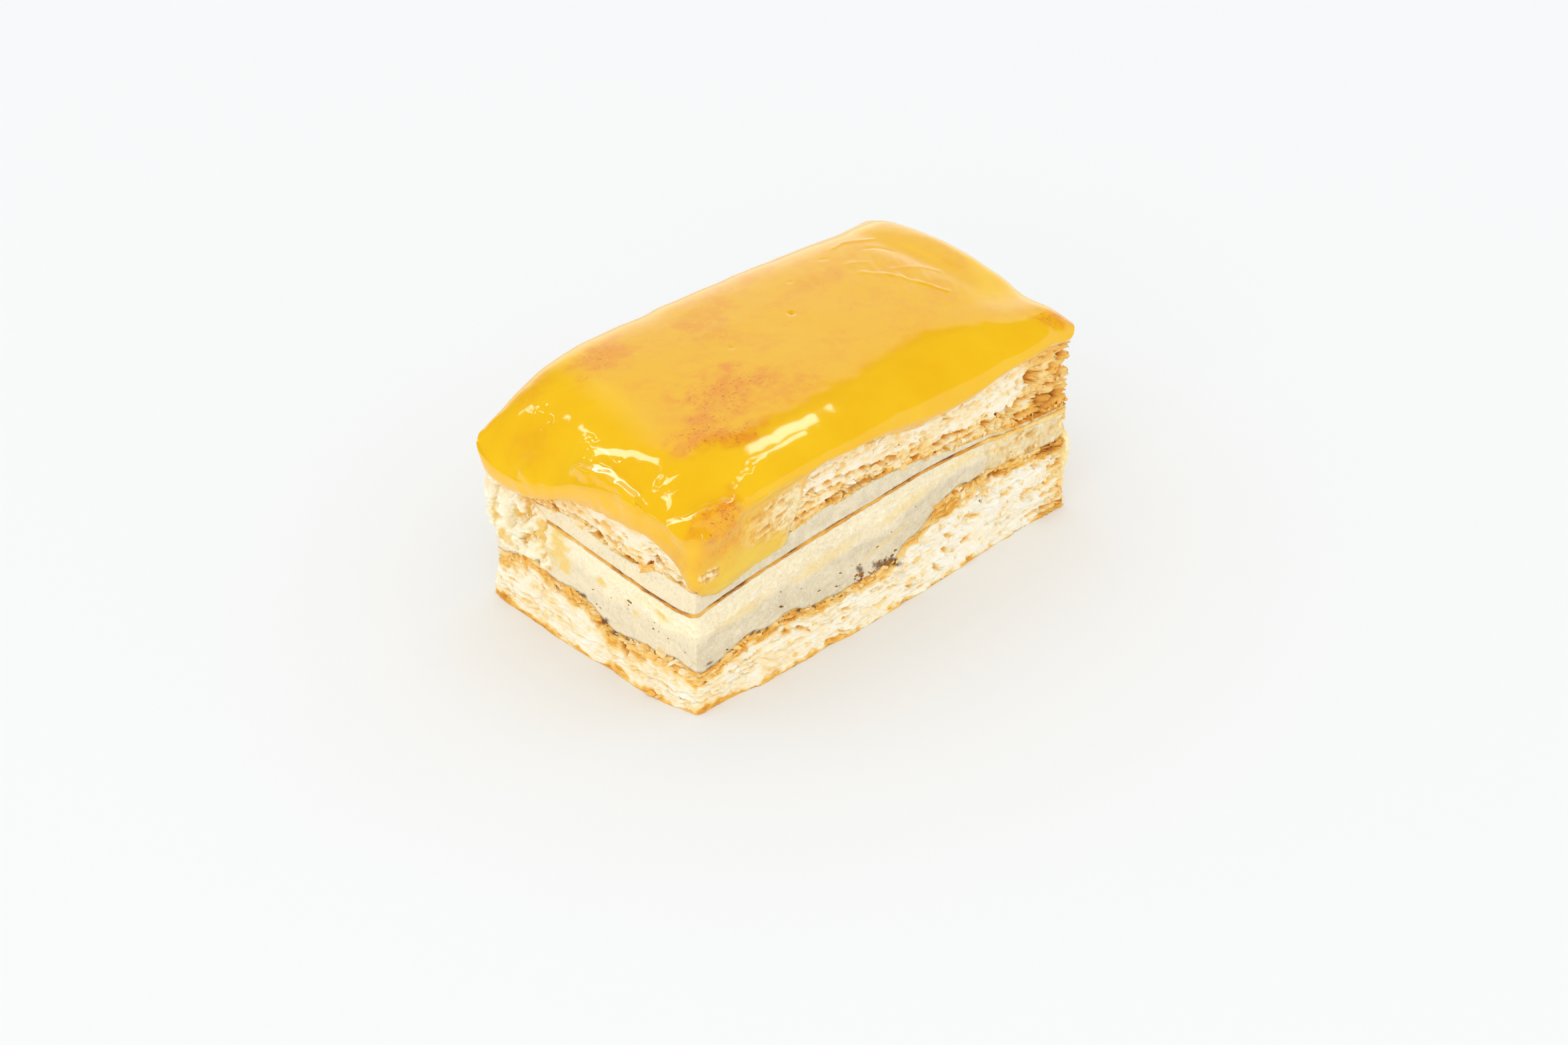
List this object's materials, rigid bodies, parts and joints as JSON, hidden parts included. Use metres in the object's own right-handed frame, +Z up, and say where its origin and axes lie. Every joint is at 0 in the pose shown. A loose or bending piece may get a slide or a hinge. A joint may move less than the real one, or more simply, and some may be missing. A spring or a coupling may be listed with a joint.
{
  "type": "mille feuille slice",
  "caption": "Oblong slice of puff pastry layered with custard and a thin pastry sheet, under a thick glossy yellow icing that runs down one corner, for serving or display.",
  "frame": {"origin": "middle of the bounding box's underside, on the surface that the slice rests on", "axes": "+X along the slice, +Y across it, +Z up; the long cut face with the icing run is at -Y, the short cut face with the custard smear at -X"},
  "size_m": [0.1166, 0.0658, 0.0517],
  "materials": {
    "puff_pastry": "pale cream baked puff pastry, browned to gold at its crusts and in its hollows, matt and crumbly",
    "browned_sheet": "thin baked pastry sheet, orange brown with dark scorched places",
    "custard": "set pastry custard, pale cream to grey cream, softly satin",
    "icing": "egg-yolk icing, golden yellow, wet gloss, with toasted orange-brown places"
  },
  "bodies": {
    "root": {"bottom_pastry": "puff_pastry", "lower_custard": "custard", "middle_pastry": "browned_sheet", "upper_custard": "custard", "top_pastry": "puff_pastry", "icing": "icing", "corner_smear": "custard", "end_smear": "custard"}
  },
  "joints": []
}
